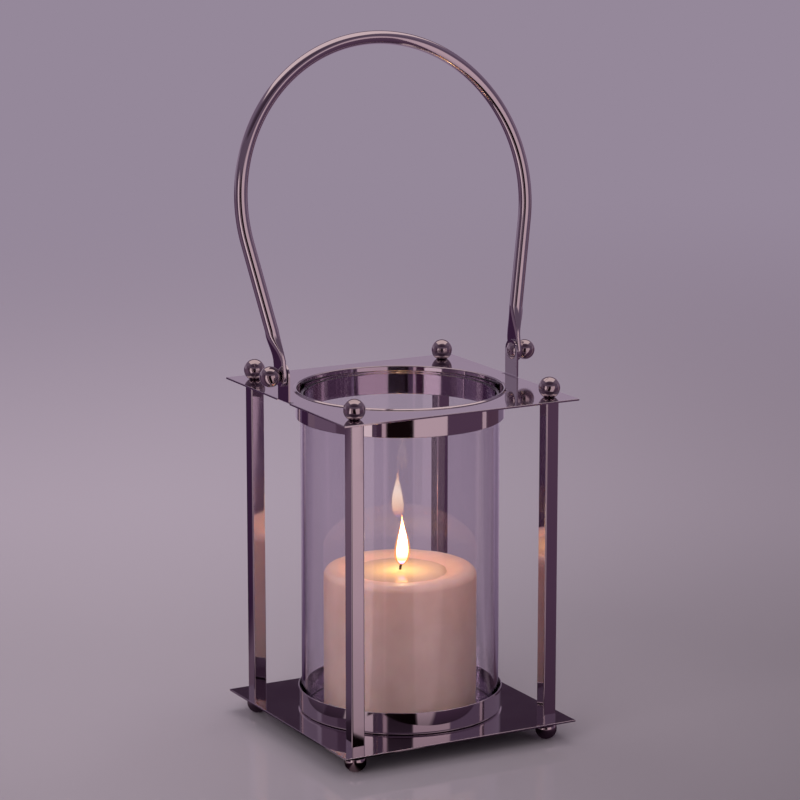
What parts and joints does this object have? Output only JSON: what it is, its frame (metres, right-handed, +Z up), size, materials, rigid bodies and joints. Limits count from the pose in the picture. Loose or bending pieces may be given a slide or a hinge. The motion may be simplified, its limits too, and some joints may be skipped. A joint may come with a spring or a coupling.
{
  "type": "candle lantern",
  "caption": "Square candle lantern with ball-ended posts, a glass chimney, a pillar candle and a swinging bail handle.",
  "frame": {"origin": "centre of the footprint, on the plane that the ball feet stand on", "axes": "+Z up; +X along the handle's pivot axis, towards the right; +Y towards the back"},
  "size_m": [0.2148, 0.168, 0.4535],
  "materials": {
    "polished_steel": "mirror-polished stainless steel",
    "zinc_steel": "zinc-plated threaded rod",
    "clear_glass": "clear drawn glass with fire-polished rims",
    "candle_wax": "ivory paraffin wax, slightly translucent",
    "wick_cotton": "charred braided cotton"
  },
  "bodies": {
    "frame": {"bottom_plate": "polished_steel", "top_plate": "polished_steel", "glass_collar": "polished_steel", "candle_dish": "polished_steel", "pivot_screw_left": "polished_steel", "pivot_screw_right": "polished_steel", "pivot_knob_left": "polished_steel", "pivot_knob_right": "polished_steel", "post_front_left": "polished_steel", "ball_finial_front_left": "polished_steel", "ball_foot_front_left": "polished_steel", "post_front_right": "polished_steel", "ball_finial_front_right": "polished_steel", "ball_foot_front_right": "polished_steel", "post_back_left": "polished_steel", "ball_finial_back_left": "polished_steel", "ball_foot_back_left": "polished_steel", "post_back_right": "polished_steel", "ball_finial_back_right": "polished_steel", "ball_foot_back_right": "polished_steel", "tie_rod_front_left": "zinc_steel", "tie_rod_front_right": "zinc_steel", "tie_rod_back_left": "zinc_steel", "tie_rod_back_right": "zinc_steel"},
    "bail": {"bail_handle": "polished_steel"},
    "glass": {"glass_cylinder": "clear_glass"},
    "candle": {"pillar_candle": "candle_wax", "candle_wick": "wick_cotton"}
  },
  "joints": [
    {"name": "handle_swing", "type": "hinge", "parent": "frame", "child": "bail", "pos_m": [0, 0, 0.2433], "axis": [1, 0, 0], "range_deg": [-143, 163]},
    {"name": "glass_lift", "type": "slide", "parent": "frame", "child": "glass", "axis": [0, 0, 1], "range_m": [0, 0.185]},
    {"name": "candle_lift", "type": "slide", "parent": "frame", "child": "candle", "axis": [0, 0, 1], "range_m": [0, 0.23]}
  ]
}
